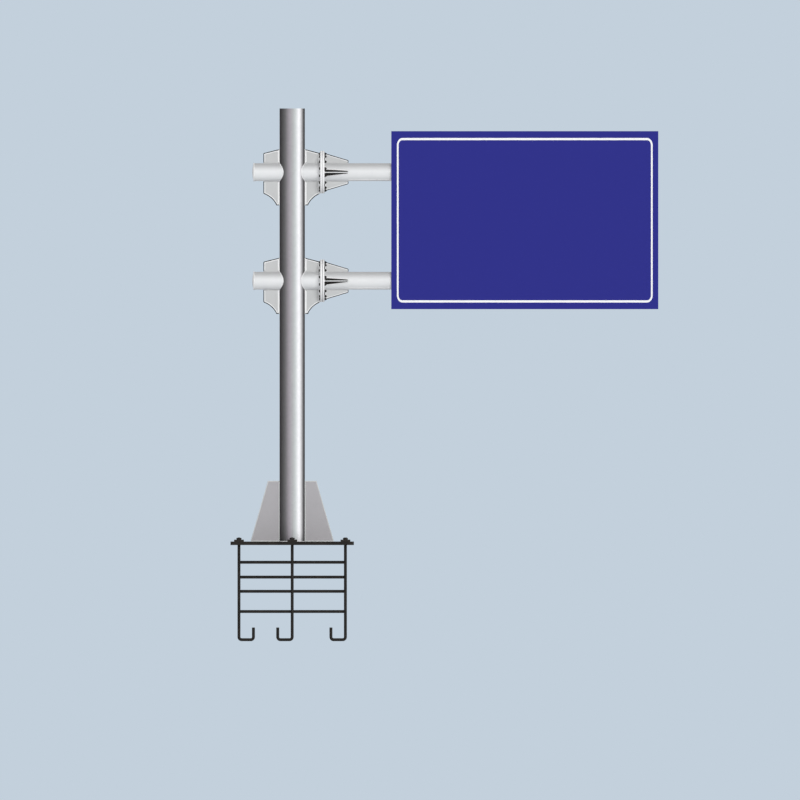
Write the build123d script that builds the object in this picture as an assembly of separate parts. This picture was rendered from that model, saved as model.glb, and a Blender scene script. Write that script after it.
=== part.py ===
# Cantilever sign gantry: a round steel pole on a square base plate, two flanged arms that reach out to
# one side, a rectangular traffic sign clamped to them, and the cage of hooked anchor bolts that is cast
# into the foundation below ground level.
# Millimetres, +Z up. The origin is the centre of the base plate's underside, at ground level, on the
# pole's axis. The arms run along +X and the sign faces -Y.

import os
from math import cos, pi, sin

from build123d import *

# Pole
pole_diameter = 426.0
pole_wall = 10.0
pole_top_height = 7346.0
pole_cap_thickness = 12.0

# Base plate and the two stiffeners that stand on it
base_plate_side = 2080.0
base_plate_thickness = 60.0
base_plate_corner_radius = 40.0
stiffener_height = 1023.0
stiffener_foot_width = 485.0
stiffener_head_width = 197.0
stiffener_toe_height = 18.0
stiffener_thickness = 30.0

# Anchor bolts, with their plate washers, nuts and the square hoops that tie them
anchor_diameter = 50.0
anchor_half_spacing = 897.0
anchor_depth = 1595.0
anchor_hook_length = 244.0
anchor_hook_rise = 206.0
anchor_bend_radius = 45.0
anchor_bend_steps = 3
anchor_end_above_nut = 6.0
anchor_hole_clearance = 3.0
washer_side = 165.0
washer_thickness = 32.0
washer_hole_clearance = 1.0
nut_across_flats = 75.0
nut_height = 30.0
hoop_diameter = 50.0
hoop_depths = (290.0, 540.0, 780.0, 1120.0)
hoop_bar_overhang = 12.0

# Arms, their stubs on the pole and the flanges between them
lower_arm_height = 4455.0
arm_spacing = 1830.0
arm_diameter = 299.0
arm_wall = 8.0
arm_length = 5476.0
left_stub_reach = 432.0
right_stub_reach = 259.0
stub_cap_rim = 4.0
stub_cap_dome = 24.0
arm_cap_thickness = 10.0
flange_diameter = 715.0
flange_thickness = 36.0
flange_bolt_circle = 630.0
flange_bolt_count = 16
flange_bolt_hole = 33.0

# Gusset plates above and below each stub
gusset_thickness = 20.0
left_gusset_reach = 272.0
gusset_rise_at_pole = 388.0
gusset_rise_at_end = 320.0
gusset_drop_at_pole = 560.0
gusset_drop_at_end = 364.0
gusset_arc_radius = 380.0
gusset_toe_width = 60.0
gusset_toe_height = 18.0

# Ribs that run from the arm's flange along the arm
rib_count = 4
rib_thickness = 24.0
rib_length = 404.0
rib_rim_margin = 36.0
rib_end_height = 51.0

# Sign: its sheet, the returns folded back along its edges, and the rails behind it
sign_width = 4500.0
sign_height = 3000.0
sign_near_edge = 1670.0
sign_bottom_height = 3976.0
sheet_thickness = 3.0
return_depth = 25.0
return_thickness = 3.0
return_corner_notch = 6.0
rail_count = 5
rail_width = 80.0
rail_depth = 60.0
rail_wall = 4.0
rail_slot = 26.0
rail_edge_margin = 250.0
rail_end_margin = 45.0

# Straps that clamp the rails to the arms
strap_width = 60.0
strap_thickness = 6.0
strap_ear_length = 50.0

# Gap left where a piece seats on a round surface
seat_gap = 0.3

# The small round bars and holes repeat many times, so each is a prism of this many sides
small_round_sides = 8

pole_radius = pole_diameter / 2
arm_radius = arm_diameter / 2
pole_face = pole_radius + seat_gap
arm_face = arm_radius + seat_gap
arm_heights = {"lower": lower_arm_height, "upper": lower_arm_height + arm_spacing}
stub_flange_back = pole_radius + right_stub_reach
flange_joint = stub_flange_back + flange_thickness
arm_start = flange_joint + flange_thickness
arm_end = arm_start + arm_length


def small_round(diameter):
    """The section of a small round bar or hole, with its corners on the circle."""
    return RegularPolygon(diameter / 2, small_round_sides)


def tube_along_x(start, end):
    """A tube of the arms' section on the X axis."""
    section = Circle(arm_radius) - Circle(arm_radius - arm_wall)
    return extrude(Plane.YZ.offset(start) * section, end - start)


def plate_on_xz(outline, thickness):
    """A plate in the plane of the pole and the arms, half its thickness to each side."""
    return extrude(Plane.XZ * make_face(outline), thickness / 2, both=True)


def domed_cap():
    """A dished end cap on the X axis, whose rim starts at X = 0 and whose dome points to -X."""
    crown = stub_cap_rim + stub_cap_dome
    disc = extrude(Plane.YZ * Circle(arm_radius), -crown)
    dome_radius = (arm_radius**2 + stub_cap_dome**2) / (2 * stub_cap_dome)
    return disc & Pos(dome_radius - crown, 0, 0) * Sphere(dome_radius)


# Pole and base


def make_pole():
    section = Circle(pole_radius) - Circle(pole_radius - pole_wall)
    return Pos(0, 0, base_plate_thickness) * extrude(section, pole_top_height - base_plate_thickness)


def make_pole_cap():
    return Pos(0, 0, pole_top_height) * extrude(Circle(pole_radius), pole_cap_thickness)


def make_base_plate():
    outline = RectangleRounded(base_plate_side, base_plate_side, base_plate_corner_radius)
    hole = small_round(anchor_diameter + 2 * anchor_hole_clearance)
    holes = [Pos(x, y) * hole for x, y in anchor_places()]
    return extrude(outline - holes, base_plate_thickness)


def make_stiffener(side):
    """The plate against the pole's left side (-1) or right side (+1)."""
    foot = pole_radius + stiffener_foot_width
    head = pole_radius + stiffener_head_width
    top = base_plate_thickness + stiffener_height
    outline = Polyline(
        (side * pole_face, base_plate_thickness),
        (side * foot, base_plate_thickness),
        (side * foot, base_plate_thickness + stiffener_toe_height),
        (side * head, top),
        (side * pole_face, top),
        close=True,
    )
    return plate_on_xz(outline, stiffener_thickness)


# Anchor cage


def anchor_places(columns=(-1, 0, 1)):
    """Bolt places on a three by three grid with no bolt at its centre."""
    places = [(column, row) for column in columns for row in (-1, 0, 1) if (column, row) != (0, 0)]
    return [(column * anchor_half_spacing, row * anchor_half_spacing) for column, row in places]


def bent_corner(corner, before, after):
    """Points of a rounded corner of a bolt's axis, from and to the given unit directions."""
    points = []
    for step in range(anchor_bend_steps + 1):
        turn = pi / 2 * step / anchor_bend_steps
        back = anchor_bend_radius * (1 - sin(turn))
        ahead = anchor_bend_radius * (1 - cos(turn))
        x = corner[0] - back * before[0] + ahead * after[0]
        z = corner[1] - back * before[1] + ahead * after[1]
        points.append((x, 0, z))
    return points


def make_anchor_bolts(column):
    """The bolts of one column: the right and middle ones hook to -X, the left ones to +X."""
    side = 1 if column < 0 else -1
    nut_top = base_plate_thickness + washer_thickness + nut_height
    top = nut_top + anchor_end_above_nut
    foot = (0, -anchor_depth)
    toe = (side * anchor_hook_length, -anchor_depth)
    route = Polyline(
        (0, 0, top),
        *bent_corner(foot, (0, -1), (side, 0)),
        *bent_corner(toe, (side, 0), (0, 1)),
        (side * anchor_hook_length, 0, anchor_hook_rise - anchor_depth),
    )
    section = Plane(origin=(0, 0, top), z_dir=(0, 0, -1)) * small_round(anchor_diameter)
    bolt = sweep(section, route, transition=Transition.RIGHT)
    return [Pos(x, y, 0) * bolt for x, y in anchor_places((column,))]


def make_anchor_hoop(depth):
    """Four bars that tie the bolts from inside: two long ones, and two cut to fit between them."""
    offset = anchor_half_spacing - anchor_diameter / 2 - hoop_diameter / 2 - seat_gap
    long_length = 2 * (anchor_half_spacing + hoop_bar_overhang)
    short_length = 2 * (offset - hoop_diameter / 2 - seat_gap)
    section = small_round(hoop_diameter)
    long_bar = extrude(Plane.YZ * section, long_length / 2, both=True)
    short_bar = extrude(Plane.XZ * section, short_length / 2, both=True)
    bars = [Pos(0, side * offset, -depth) * long_bar for side in (-1, 1)]
    return bars + [Pos(side * offset, 0, -depth) * short_bar for side in (-1, 1)]


def make_anchor_washers():
    hole = small_round(anchor_diameter + 2 * washer_hole_clearance)
    outline = Rectangle(washer_side, washer_side) - hole
    washer = extrude(outline, washer_thickness)
    return [Pos(x, y, base_plate_thickness) * washer for x, y in anchor_places()]


def make_anchor_nuts():
    hexagon = RegularPolygon(nut_across_flats / 2, 6, major_radius=False)
    nut = extrude(hexagon - small_round(anchor_diameter + 2 * seat_gap), nut_height)
    seat = base_plate_thickness + washer_thickness
    return [Pos(x, y, seat) * nut for x, y in anchor_places()]


# Arms and stubs. The pieces are made with the arm's axis at Z = 0 and lifted to each arm's height.


def make_left_stub():
    tube = tube_along_x(-pole_radius - left_stub_reach, 0)
    return tube - Cylinder(pole_face, 2 * arm_diameter)


def make_right_stub():
    return tube_along_x(0, stub_flange_back) - Cylinder(pole_face, 2 * arm_diameter)


def make_flange(start):
    """A ring flange from X = start, with its bolt holes half a pitch off the ribs and gussets."""
    half_pitch = 180 / flange_bolt_count
    holes = PolarLocations(flange_bolt_circle / 2, flange_bolt_count, half_pitch)
    ring = Circle(flange_diameter / 2) - Circle(arm_radius - arm_wall)
    outline = ring - holes * small_round(flange_bolt_hole)
    return extrude(Plane.YZ.offset(start) * outline, flange_thickness)


def make_gussets(side, reach):
    """The plates above and below a stub: side is -1 or +1, reach is their end's distance from X = 0."""
    toe = pole_radius + gusset_toe_width
    above = Polyline(
        (side * pole_face, arm_face),
        (side * reach, arm_face),
        (side * reach, gusset_rise_at_end),
        (side * pole_face, gusset_rise_at_pole),
        close=True,
    )
    arc_start = (side * reach, -gusset_drop_at_end)
    arc_end = (side * toe, gusset_toe_height - gusset_drop_at_pole)
    below = (
        Polyline((side * pole_face, -arm_face), (side * reach, -arm_face), arc_start)
        + RadiusArc(arc_start, arc_end, -side * gusset_arc_radius)
        + Polyline(
            arc_end,
            (side * toe, -gusset_drop_at_pole),
            (side * pole_face, -gusset_drop_at_pole),
            (side * pole_face, -arm_face),
        )
    )
    return [plate_on_xz(above, gusset_thickness), plate_on_xz(below, gusset_thickness)]


def make_arm_ribs():
    """Tapered ribs above, below, before and behind the arm, from its flange."""
    outline = Polyline(
        (arm_start, arm_face),
        (arm_start + rib_length, arm_face),
        (arm_start + rib_length, arm_radius + rib_end_height),
        (arm_start, flange_diameter / 2 - rib_rim_margin),
        close=True,
    )
    rib = plate_on_xz(outline, rib_thickness)
    return [Rot(index * 360 / rib_count, 0, 0) * rib for index in range(rib_count)]


# Sign, with its front towards -Y

rail_back = -arm_face
sheet_back = rail_back - rail_depth
sign_middle_x = sign_near_edge + sign_width / 2
sign_middle_height = sign_bottom_height + sign_height / 2


def rail_places():
    pitch = (sign_width - 2 * rail_edge_margin) / (rail_count - 1)
    first = sign_near_edge + rail_edge_margin
    return [first + index * pitch for index in range(rail_count)]


def make_sheet():
    sheet = Box(sign_width, sheet_thickness, sign_height, align=(Align.CENTER, Align.MAX, Align.CENTER))
    return Pos(sign_middle_x, sheet_back, sign_middle_height) * sheet


def make_edge_returns():
    """Strips behind the sheet's edges, which stop short of the corners as folded returns do."""
    align = (Align.CENTER, Align.MIN, Align.CENTER)
    long_strip = Box(sign_width - 2 * return_corner_notch, return_depth, return_thickness, align=align)
    side_strip = Box(return_thickness, return_depth, sign_height - 2 * return_corner_notch, align=align)
    across = (sign_width - return_thickness) / 2
    along = (sign_height - return_thickness) / 2
    strips = [Pos(0, 0, side * along) * long_strip for side in (-1, 1)]
    strips += [Pos(side * across, 0, 0) * side_strip for side in (-1, 1)]
    return [Pos(sign_middle_x, sheet_back, sign_middle_height) * strip for strip in strips]


def make_rail(place):
    """A lipped channel with its web on the sheet and its slot towards the arms."""
    inside = Rectangle(rail_width - 2 * rail_wall, rail_depth - 2 * rail_wall)
    slot = Pos(0, (rail_depth - rail_wall) / 2) * Rectangle(rail_slot, rail_wall)
    section = Rectangle(rail_width, rail_depth) - inside - slot
    rail = extrude(section, sign_height / 2 - rail_end_margin, both=True)
    return Pos(place, rail_back - rail_depth / 2, sign_middle_height) * rail


def make_straps():
    """One strap round the back of the arm at each rail, with its two ears on the rail's lips."""
    inner = arm_face
    outer = arm_face + strap_thickness
    legs = Align.MAX, Align.CENTER
    hoop = Circle(outer) + Rectangle(-rail_back, 2 * outer, align=legs)
    hollow = Circle(inner) + Rectangle(-rail_back, 2 * inner, align=legs)
    hollow += Pos(rail_back, 0) * Rectangle(outer, 2 * outer, align=legs)
    ears = Pos(rail_back, 0) * Rectangle(
        strap_thickness, 2 * (outer + strap_ear_length), align=(Align.MIN, Align.CENTER)
    )
    section = hoop + ears - hollow
    strap = extrude(Plane.YZ * section, strap_width / 2, both=True)
    return [Pos(place, 0, 0) * strap for place in rail_places()]


def lifted(shapes, height):
    shapes = shapes if isinstance(shapes, list) else [shapes]
    return [Pos(0, 0, height) * shape for shape in shapes]


def make_parts():
    """Every piece by its node's name, as a list of solids."""
    parts = {
        "pole": [make_pole()],
        "pole_cap": [make_pole_cap()],
        "base_plate": [make_base_plate()],
        "left_stiffener": [make_stiffener(-1)],
        "right_stiffener": [make_stiffener(1)],
        "anchor_washers": make_anchor_washers(),
        "anchor_nuts": make_anchor_nuts(),
        "sign_sheet": [make_sheet()],
        "sign_edge_returns": make_edge_returns(),
        "stub_end_caps": [],
        "arm_end_caps": [],
    }
    for column, name in ((-1, "left"), (0, "middle"), (1, "right")):
        parts["anchor_bolts_" + name] = make_anchor_bolts(column)
    for number, depth in enumerate(hoop_depths, 1):
        parts[f"anchor_hoop_{number}"] = make_anchor_hoop(depth)
    for number, place in enumerate(rail_places(), 1):
        parts[f"sign_rail_{number}"] = [make_rail(place)]
    stub_cap = Pos(-pole_radius - left_stub_reach, 0, 0) * domed_cap()
    arm_cap = extrude(Plane.YZ.offset(arm_end) * Circle(arm_radius), arm_cap_thickness)
    level_parts = {
        "left_stub": make_left_stub(),
        "right_stub": make_right_stub(),
        "left_gussets": make_gussets(-1, pole_radius + left_gusset_reach),
        "right_gussets": make_gussets(1, stub_flange_back),
        "stub_flange": make_flange(stub_flange_back),
        "arm_flange": make_flange(flange_joint),
        "arm": tube_along_x(arm_start, arm_end),
        "arm_ribs": make_arm_ribs(),
        "sign_clamps": make_straps(),
    }
    for level, height in arm_heights.items():
        for name, shapes in level_parts.items():
            parts[f"{level}_{name}"] = lifted(shapes, height)
        parts["stub_end_caps"] += lifted(stub_cap, height)
        parts["arm_end_caps"] += lifted(arm_cap, height)
    return parts


os.makedirs("parts", exist_ok=True)
for name, shapes in make_parts().items():
    solids = [solid for shape in shapes for solid in shape.solids()]
    export_step(Compound(children=solids) if len(solids) > 1 else solids[0], f"parts/{name}.step")
    print(name, len(solids), "solids")
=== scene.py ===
import math

import bmesh
import bpy
from mathutils import Matrix, Vector


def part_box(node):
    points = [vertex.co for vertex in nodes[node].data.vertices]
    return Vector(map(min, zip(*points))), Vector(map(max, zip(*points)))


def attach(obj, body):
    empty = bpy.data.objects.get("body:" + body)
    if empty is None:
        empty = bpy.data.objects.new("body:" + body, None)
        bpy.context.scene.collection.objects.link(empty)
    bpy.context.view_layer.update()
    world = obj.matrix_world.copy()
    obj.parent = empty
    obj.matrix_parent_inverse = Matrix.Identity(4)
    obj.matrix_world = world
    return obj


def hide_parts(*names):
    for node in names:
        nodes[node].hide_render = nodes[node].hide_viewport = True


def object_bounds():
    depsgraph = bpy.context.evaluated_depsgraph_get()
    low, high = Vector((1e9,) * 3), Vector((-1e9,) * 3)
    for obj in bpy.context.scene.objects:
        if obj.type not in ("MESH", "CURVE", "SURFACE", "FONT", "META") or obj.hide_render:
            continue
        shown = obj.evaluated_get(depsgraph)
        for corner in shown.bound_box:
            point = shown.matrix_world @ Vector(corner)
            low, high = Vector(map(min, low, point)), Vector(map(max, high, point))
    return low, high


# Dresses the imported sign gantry: finishes, round anchor steel, bolts, welds, plate edges, the sign's border,
# light and camera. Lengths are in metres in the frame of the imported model, and mm turns millimetres into
# metres. Fasteners are sketched in millimetres

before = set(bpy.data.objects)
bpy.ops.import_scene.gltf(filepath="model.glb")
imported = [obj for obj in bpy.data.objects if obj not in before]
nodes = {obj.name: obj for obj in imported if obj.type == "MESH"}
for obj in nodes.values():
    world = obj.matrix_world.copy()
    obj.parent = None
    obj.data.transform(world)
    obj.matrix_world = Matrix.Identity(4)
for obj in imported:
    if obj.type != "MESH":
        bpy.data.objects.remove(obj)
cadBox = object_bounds()
scene = bpy.context.scene
mm = 0.001


# Small helpers

def linearColour(hexText):  # sRGB hex to the linear colour that a socket takes
    parts = [int(hexText[i:i + 2], 16) / 255 for i in (1, 3, 5)]
    return [p / 12.92 if p <= 0.04045 else ((p + 0.055) / 1.055) ** 2.4 for p in parts] + [1.0]


def addNode(tree, kind, values=None, links=None):  # a node, its settings by name or input number, its links
    node = tree.nodes.new(kind)
    for key, value in (values or {}).items():
        if isinstance(key, int) or key in node.inputs:
            node.inputs[key].default_value = value
        else:
            setattr(node, key, value)
    for key, source in (links or {}).items():
        tree.links.new(source, node.inputs[key])
    return node


def fromTo(low, high, lowTo, highTo):  # settings that bring one range to another
    return {"From Min": low, "From Max": high, "To Min": lowTo, "To Max": highTo}


def patternScale(sizeMm):  # texture scale for a pattern whose cells are this many millimetres wide
    return 1000.0 / sizeMm


def startMaterial(name):  # a new material, its tree, its shader and its object coordinates
    material = bpy.data.materials.new(name)
    material.use_nodes = True
    tree = material.node_tree
    shader = next(node for node in tree.nodes if node.type == "BSDF_PRINCIPLED")
    place = tree.nodes.new("ShaderNodeTexCoord").outputs["Object"]
    return material, tree, shader, place


def endMaterial(tree, shader, look, colour, gloss, height):  # colour, gloss and a bump of a real height
    bump = addNode(tree, "ShaderNodeBump", {"Strength": look["bump"], "Distance": look["bumpMm"] * mm},
                   {"Height": height}).outputs["Normal"]
    if "specular" in look:  # metals keep the default
        shader.inputs["Specular IOR Level"].default_value = look["specular"]
    for source, socket in ((colour, "Base Color"), (gloss, "Roughness"), (bump, "Normal")):
        tree.links.new(source, shader.inputs[socket])


def addStreaks(tree, place, widthMm, lengthMm, detail):  # noise drawn out into upright streaks
    drawnOut = addNode(tree, "ShaderNodeMapping", {"Scale": (1.0, 1.0, widthMm / lengthMm)},
                       {"Vector": place})
    return addNode(tree, "ShaderNodeTexNoise", {"Scale": patternScale(widthMm), "Detail": detail},
                   {"Vector": drawnOut.outputs["Vector"]}).outputs["Fac"]


def addShaded(tree, hexText, *shares):  # a colour times one or two shares of light
    both = addNode(tree, "ShaderNodeMath", {"operation": "MULTIPLY", 1: 1.0}, dict(enumerate(shares)))
    return addNode(tree, "ShaderNodeMix", {
        "data_type": "RGBA", "blend_type": "MULTIPLY", 0: 1.0, 6: linearColour(hexText)},
        {7: both.outputs["Value"]}).outputs[2]


def newObject(name, data):
    piece = bpy.data.objects.new(name, data)
    scene.collection.objects.link(piece)
    return piece


def finishPiece(piece, slot, *replaced):  # every added piece rides on the one body
    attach(piece, "root")
    if replaced:
        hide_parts(*replaced)
    print("piece", piece.name, len(piece.data.polygons), "faces")


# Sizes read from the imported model

poleLow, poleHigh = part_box("pole")
poleRadius = (poleHigh.x - poleLow.x) / 2
armNames = ("lower", "upper")
armBoxes = {name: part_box(name + "_arm") for name in armNames}
armHeights = {name: (low.z + high.z) / 2 for name, (low, high) in armBoxes.items()}
armRadius = (armBoxes["lower"][1].z - armBoxes["lower"][0].z) / 2
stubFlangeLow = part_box("lower_stub_flange")[0]
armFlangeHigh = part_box("lower_arm_flange")[1]
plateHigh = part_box("base_plate")[1]
sheetLow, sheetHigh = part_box("sign_sheet")
print("frame read:", len(nodes), "nodes")


# Finishes. In each look, gloss is how far the roughness strays to either side, and bump a share of bumpMm

coatLook = {"grainMm": 14, "cloudMm": 420, "noiseRange": (0.3, 0.7), "lighter": 0.4,
            "dustSlope": (0.05, 0.85), "gloss": (-0.05, 0.08), "specular": 0.4, "bumpMm": 0.25, "bump": 0.35}


def makeCoating(name, hexText, roughness=0.42, clouds=0.035, dust=0.0):
    # Polyester powder coat on steel: even colour, satin gloss, faint orange peel and slight clouding.
    # Clouds is how much the colour strays, and the last argument the share of painted shade that darkens what
    # faces up
    look = coatLook
    material, tree, shader, place = startMaterial(name)
    cloud = addNode(tree, "ShaderNodeTexNoise", {
        "Scale": patternScale(look["cloudMm"]), "Detail": 5.0, "Roughness": 0.6}, {"Vector": place})
    grain = addNode(tree, "ShaderNodeTexNoise", {"Scale": patternScale(look["grainMm"]), "Detail": 2.0},
                    {"Vector": place}).outputs["Fac"]
    shade = addNode(tree, "ShaderNodeMapRange",
                    fromTo(*look["noiseRange"], 1.0 - clouds, 1.0 + clouds * look["lighter"]),
                    {"Value": cloud.outputs["Fac"]})
    # painted shade: the colour darkens where the surface faces up, as if less light came from above
    normal = addNode(tree, "ShaderNodeTexCoord").outputs["Normal"]
    facing = addNode(tree, "ShaderNodeSeparateXYZ", links={"Vector": normal})
    shadedTop = addNode(tree, "ShaderNodeMapRange", {
        "interpolation_type": "SMOOTHSTEP", **fromTo(*look["dustSlope"], 1.0, 1.0 - dust)},
        {"Value": facing.outputs["Z"]})
    colour = addShaded(tree, hexText, shade.outputs["Result"], shadedTop.outputs["Result"])
    gloss = addNode(tree, "ShaderNodeMapRange",
                    fromTo(*look["noiseRange"], *(roughness + part for part in look["gloss"])),
                    {"Value": grain})
    endMaterial(tree, shader, look, colour, gloss.outputs["Result"], grain)
    return material


zincLook = {"spangleMm": 46, "streakMm": 30, "streakLengthMm": 900, "streakRange": (0.35, 0.65),
            "streakShade": 0.97, "gloss": (-0.015, 0.02), "bumpMm": 0.3, "bump": 0.2}


def makeGalvanisedSteel(name, hexText, edge="#8A8A8C", roughness=0.3, spangle=0.05, bare=1.0):
    # Hot-dip galvanised steel: bright zinc with large faint spangles and drain streaks, drawn rather coarse.
    # Bare is the share of bright metal; the rest is dull zinc patina
    look = zincLook
    material, tree, shader, place = startMaterial(name)
    cells = addNode(tree, "ShaderNodeTexVoronoi", {
        "Scale": patternScale(look["spangleMm"]), "Randomness": 1.0}, {"Vector": place})
    cellValue = addNode(tree, "ShaderNodeSeparateColor", links={"Color": cells.outputs["Color"]})
    streak = addStreaks(tree, place, look["streakMm"], look["streakLengthMm"], 3.0)
    cellShade = addNode(tree, "ShaderNodeMapRange", fromTo(0.0, 1.0, 1.0 - spangle, 1.0),
                        {"Value": cellValue.outputs["Red"]})
    streakShade = addNode(tree, "ShaderNodeMapRange", fromTo(*look["streakRange"], look["streakShade"], 1.0),
                          {"Value": streak})
    colour = addShaded(tree, hexText, cellShade.outputs["Result"], streakShade.outputs["Result"])
    gloss = addNode(tree, "ShaderNodeMapRange",
                    fromTo(0.0, 1.0, *(roughness + part for part in look["gloss"])),
                    {"Value": cellValue.outputs["Green"]})
    shader.inputs["Metallic"].default_value = bare
    shader.inputs["Specular Tint"].default_value = linearColour(edge)
    endMaterial(tree, shader, look, colour, gloss.outputs["Result"], streak)
    return material


bitumenLook = {"lumpMm": 22, "patchMm": 160, "patchRange": (0.45, 0.75), "gloss": (-0.1, 0.15),
               "specular": 0.3, "bumpMm": 0.3, "bump": 0.2}


def makeBitumenBlack(name, hexText="#1D1B19", patchText="#2A2622", roughness=0.62):
    # Bitumen paint brushed on steel: near black with a warm tint, matt, with soft lumps and dusty patches
    look = bitumenLook
    material, tree, shader, place = startMaterial(name)
    lumps, patches = (addNode(tree, "ShaderNodeTexNoise", {"Scale": patternScale(look[size]), "Detail": 4.0},
                              {"Vector": place}).outputs["Fac"] for size in ("lumpMm", "patchMm"))
    amount = addNode(tree, "ShaderNodeMapRange", fromTo(*look["patchRange"], 0.0, 1.0), {"Value": patches})
    colour = addNode(tree, "ShaderNodeMix", {
        "data_type": "RGBA", 6: linearColour(hexText), 7: linearColour(patchText)},
        {0: amount.outputs["Result"]})
    gloss = addNode(tree, "ShaderNodeMapRange",
                    fromTo(0.0, 1.0, *(roughness + part for part in look["gloss"])), {"Value": lumps})
    endMaterial(tree, shader, look, colour.outputs[2], gloss.outputs["Result"], lumps)
    return material


# Bare is the share of the metal that no oxide dulls. The lines are drawn coarser than real ones, so they show
aluminiumLook = {"lineMm": 11, "lineLengthMm": 1600, "lineShade": 0.91, "stainMm": 260, "stainLengthMm": 1900,
                 "stainShade": 0.86, "noiseRange": (0.35, 0.65), "bare": 0.55, "roughness": 0.42,
                 "gloss": (-0.07, 0.1), "bumpMm": 0.15, "bump": 0.25}


def addMillLines(tree, place):  # fine rolling or extrusion lines that run up the part
    return addStreaks(tree, place, aluminiumLook["lineMm"], aluminiumLook["lineLengthMm"], 4.0)


def addWeatherMarks(tree, place, lines):  # the shares of light that long rain stains and lines leave
    look = aluminiumLook
    stain = addStreaks(tree, place, look["stainMm"], look["stainLengthMm"], 4.0)
    return [addNode(tree, "ShaderNodeMapRange", fromTo(*look["noiseRange"], look[least], 1.0),
                    {"Value": source}).outputs["Result"]
            for least, source in (("stainShade", stain), ("lineShade", lines))]


def makeMillAluminium(name, hexText):
    # Mill-finish aluminium extrusion: soft silver with fine lines along its length and rain stains
    look = aluminiumLook
    material, tree, shader, place = startMaterial(name)
    lines = addMillLines(tree, place)
    colour = addShaded(tree, hexText, *addWeatherMarks(tree, place, lines))
    gloss = addNode(tree, "ShaderNodeMapRange",
                    fromTo(0.0, 1.0, *(look["roughness"] + part for part in look["gloss"])), {"Value": lines})
    shader.inputs["Metallic"].default_value = look["bare"]
    endMaterial(tree, shader, look, colour, gloss.outputs["Result"], lines)
    return material


filmLook = {"cellMm": 16, "cellEdge": 0.1, "cellShade": 0.97, "roughness": 0.38,
            "backRoughness": (0.36, 0.52), "sheetMiddle": 1.5, "specular": 0.2, "bumpMm": 0.1, "bump": 0.1}


def addPrismCells(tree, place):  # the film's grid: the distance to a cell's edge, and the light it leaves
    cells = addNode(tree, "ShaderNodeTexVoronoi", {
        "feature": "DISTANCE_TO_EDGE", "Randomness": 0.0, "Scale": patternScale(filmLook["cellMm"])},
        {"Vector": place}).outputs["Distance"]
    shade = addNode(tree, "ShaderNodeMapRange", fromTo(0.0, filmLook["cellEdge"], filmLook["cellShade"], 1.0),
                    {"Value": cells})
    return cells, shade.outputs["Result"]


def makeSignSheet(name, hexText, backText):
    # Retroreflective film on aluminium sheet: deep even blue under a clear satin face, a faint prism grid.
    # The sheet's back is bare metal, told apart by depth in the sheet
    look = filmLook
    material, tree, shader, place = startMaterial(name)
    cells, cellShade = addPrismCells(tree, place)
    lines = addMillLines(tree, place)
    depth = addNode(tree, "ShaderNodeSeparateXYZ", links={"Vector": place})
    isBack = addNode(tree, "ShaderNodeMath", {
        "operation": "GREATER_THAN", 1: sheetLow.y + look["sheetMiddle"] * mm},
        {0: depth.outputs["Y"]}).outputs["Value"]
    film = addShaded(tree, hexText, cellShade)
    metal = addShaded(tree, backText, *addWeatherMarks(tree, place, lines))
    colour = addNode(tree, "ShaderNodeMix", {"data_type": "RGBA"}, {0: isBack, 6: film, 7: metal})
    backGloss = addNode(tree, "ShaderNodeMapRange", fromTo(0.0, 1.0, *look["backRoughness"]),
                        {"Value": lines})
    gloss = addNode(tree, "ShaderNodeMix", {"data_type": "FLOAT", 2: look["roughness"]},
                    {0: isBack, 3: backGloss.outputs["Result"]})
    bare = addNode(tree, "ShaderNodeMath", {"operation": "MULTIPLY", 1: aluminiumLook["bare"]}, {0: isBack})
    tree.links.new(bare.outputs["Value"], shader.inputs["Metallic"])
    endMaterial(tree, shader, look, colour.outputs[2], gloss.outputs[0], cells)
    return material


def makeWhiteFilm(name, hexText):
    # White retroreflective film, cut and laid on the blue: bright, satin
    material, tree, shader, place = startMaterial(name)
    colour = addShaded(tree, hexText, addPrismCells(tree, place)[1])
    tree.links.new(colour, shader.inputs["Base Color"])
    shader.inputs["Roughness"].default_value = filmLook["roughness"]
    return material


finishes = {
    "pole": makeGalvanisedSteel("brightGalvanisedTube", "#DADADC"),
    # the arms carry painted shade on their upper sides
    "arm": makeCoating("lightGreyPowderCoat", "#EDEEEF", dust=0.34),
    "gusset": makeCoating("paleGreyPowderCoat", "#CBCCCC"),
    # painted shade: near-black bevelled rims, as outlines in shade
    "gussetEdge": makeCoating("primedDarkEdge", "#1C1D1F"),
    # painted highlight: a light line inside the dark rim
    "edgeLine": makeCoating("brightEdgeLine", "#F6F7F7"),
    "flange": makeCoating("offWhitePowderCoat", "#FBFBFB"),
    # painted shade: grey rims, so that the seam between the two flanges reads as a dark groove
    "flangeEdge": makeCoating("groundFlangeEdge", "#8E8F92"),
    "stiffener": makeCoating("midGreyPowderCoat", "#B6B4B7"),
    # painted highlight: rims and weld beads lighter than the stiffener's coat
    "stiffenerEdge": makeCoating("groundGreyEdge", "#D3D6D5"),
    "black": makeBitumenBlack("bitumenBlack"),
    "film": makeSignSheet("blueReflectiveFilm", "#2B2D88", "#D2D5D7"),
    "border": makeWhiteFilm("whiteReflectiveFilm", "#FDFDFE"),
    "rail": makeMillAluminium("millAluminium", "#E2E4E6"),
    "strap": makeGalvanisedSteel("dullGalvanisedStrap", "#BFC1C4", "#FFFFFF", roughness=0.45, spangle=0.1,
                                 bare=0.6),
    # painted highlight: beads whiter than the coats they join, so they show as light lines along the seams
    "weld": makeCoating("coatedWeld", "#F8F8F8", roughness=0.5, clouds=0.05),
    "blackBolt": makeBitumenBlack("blackOxideBolt"),
    "anchorNut": makeBitumenBlack("rubbedBlackSteel", "#2B2825", "#3D3934", roughness=0.45),
    # painted shadow: near black for the wedges beside the front and back ribs
    "fill": makeBitumenBlack("darkSeamFiller"),
}
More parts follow.
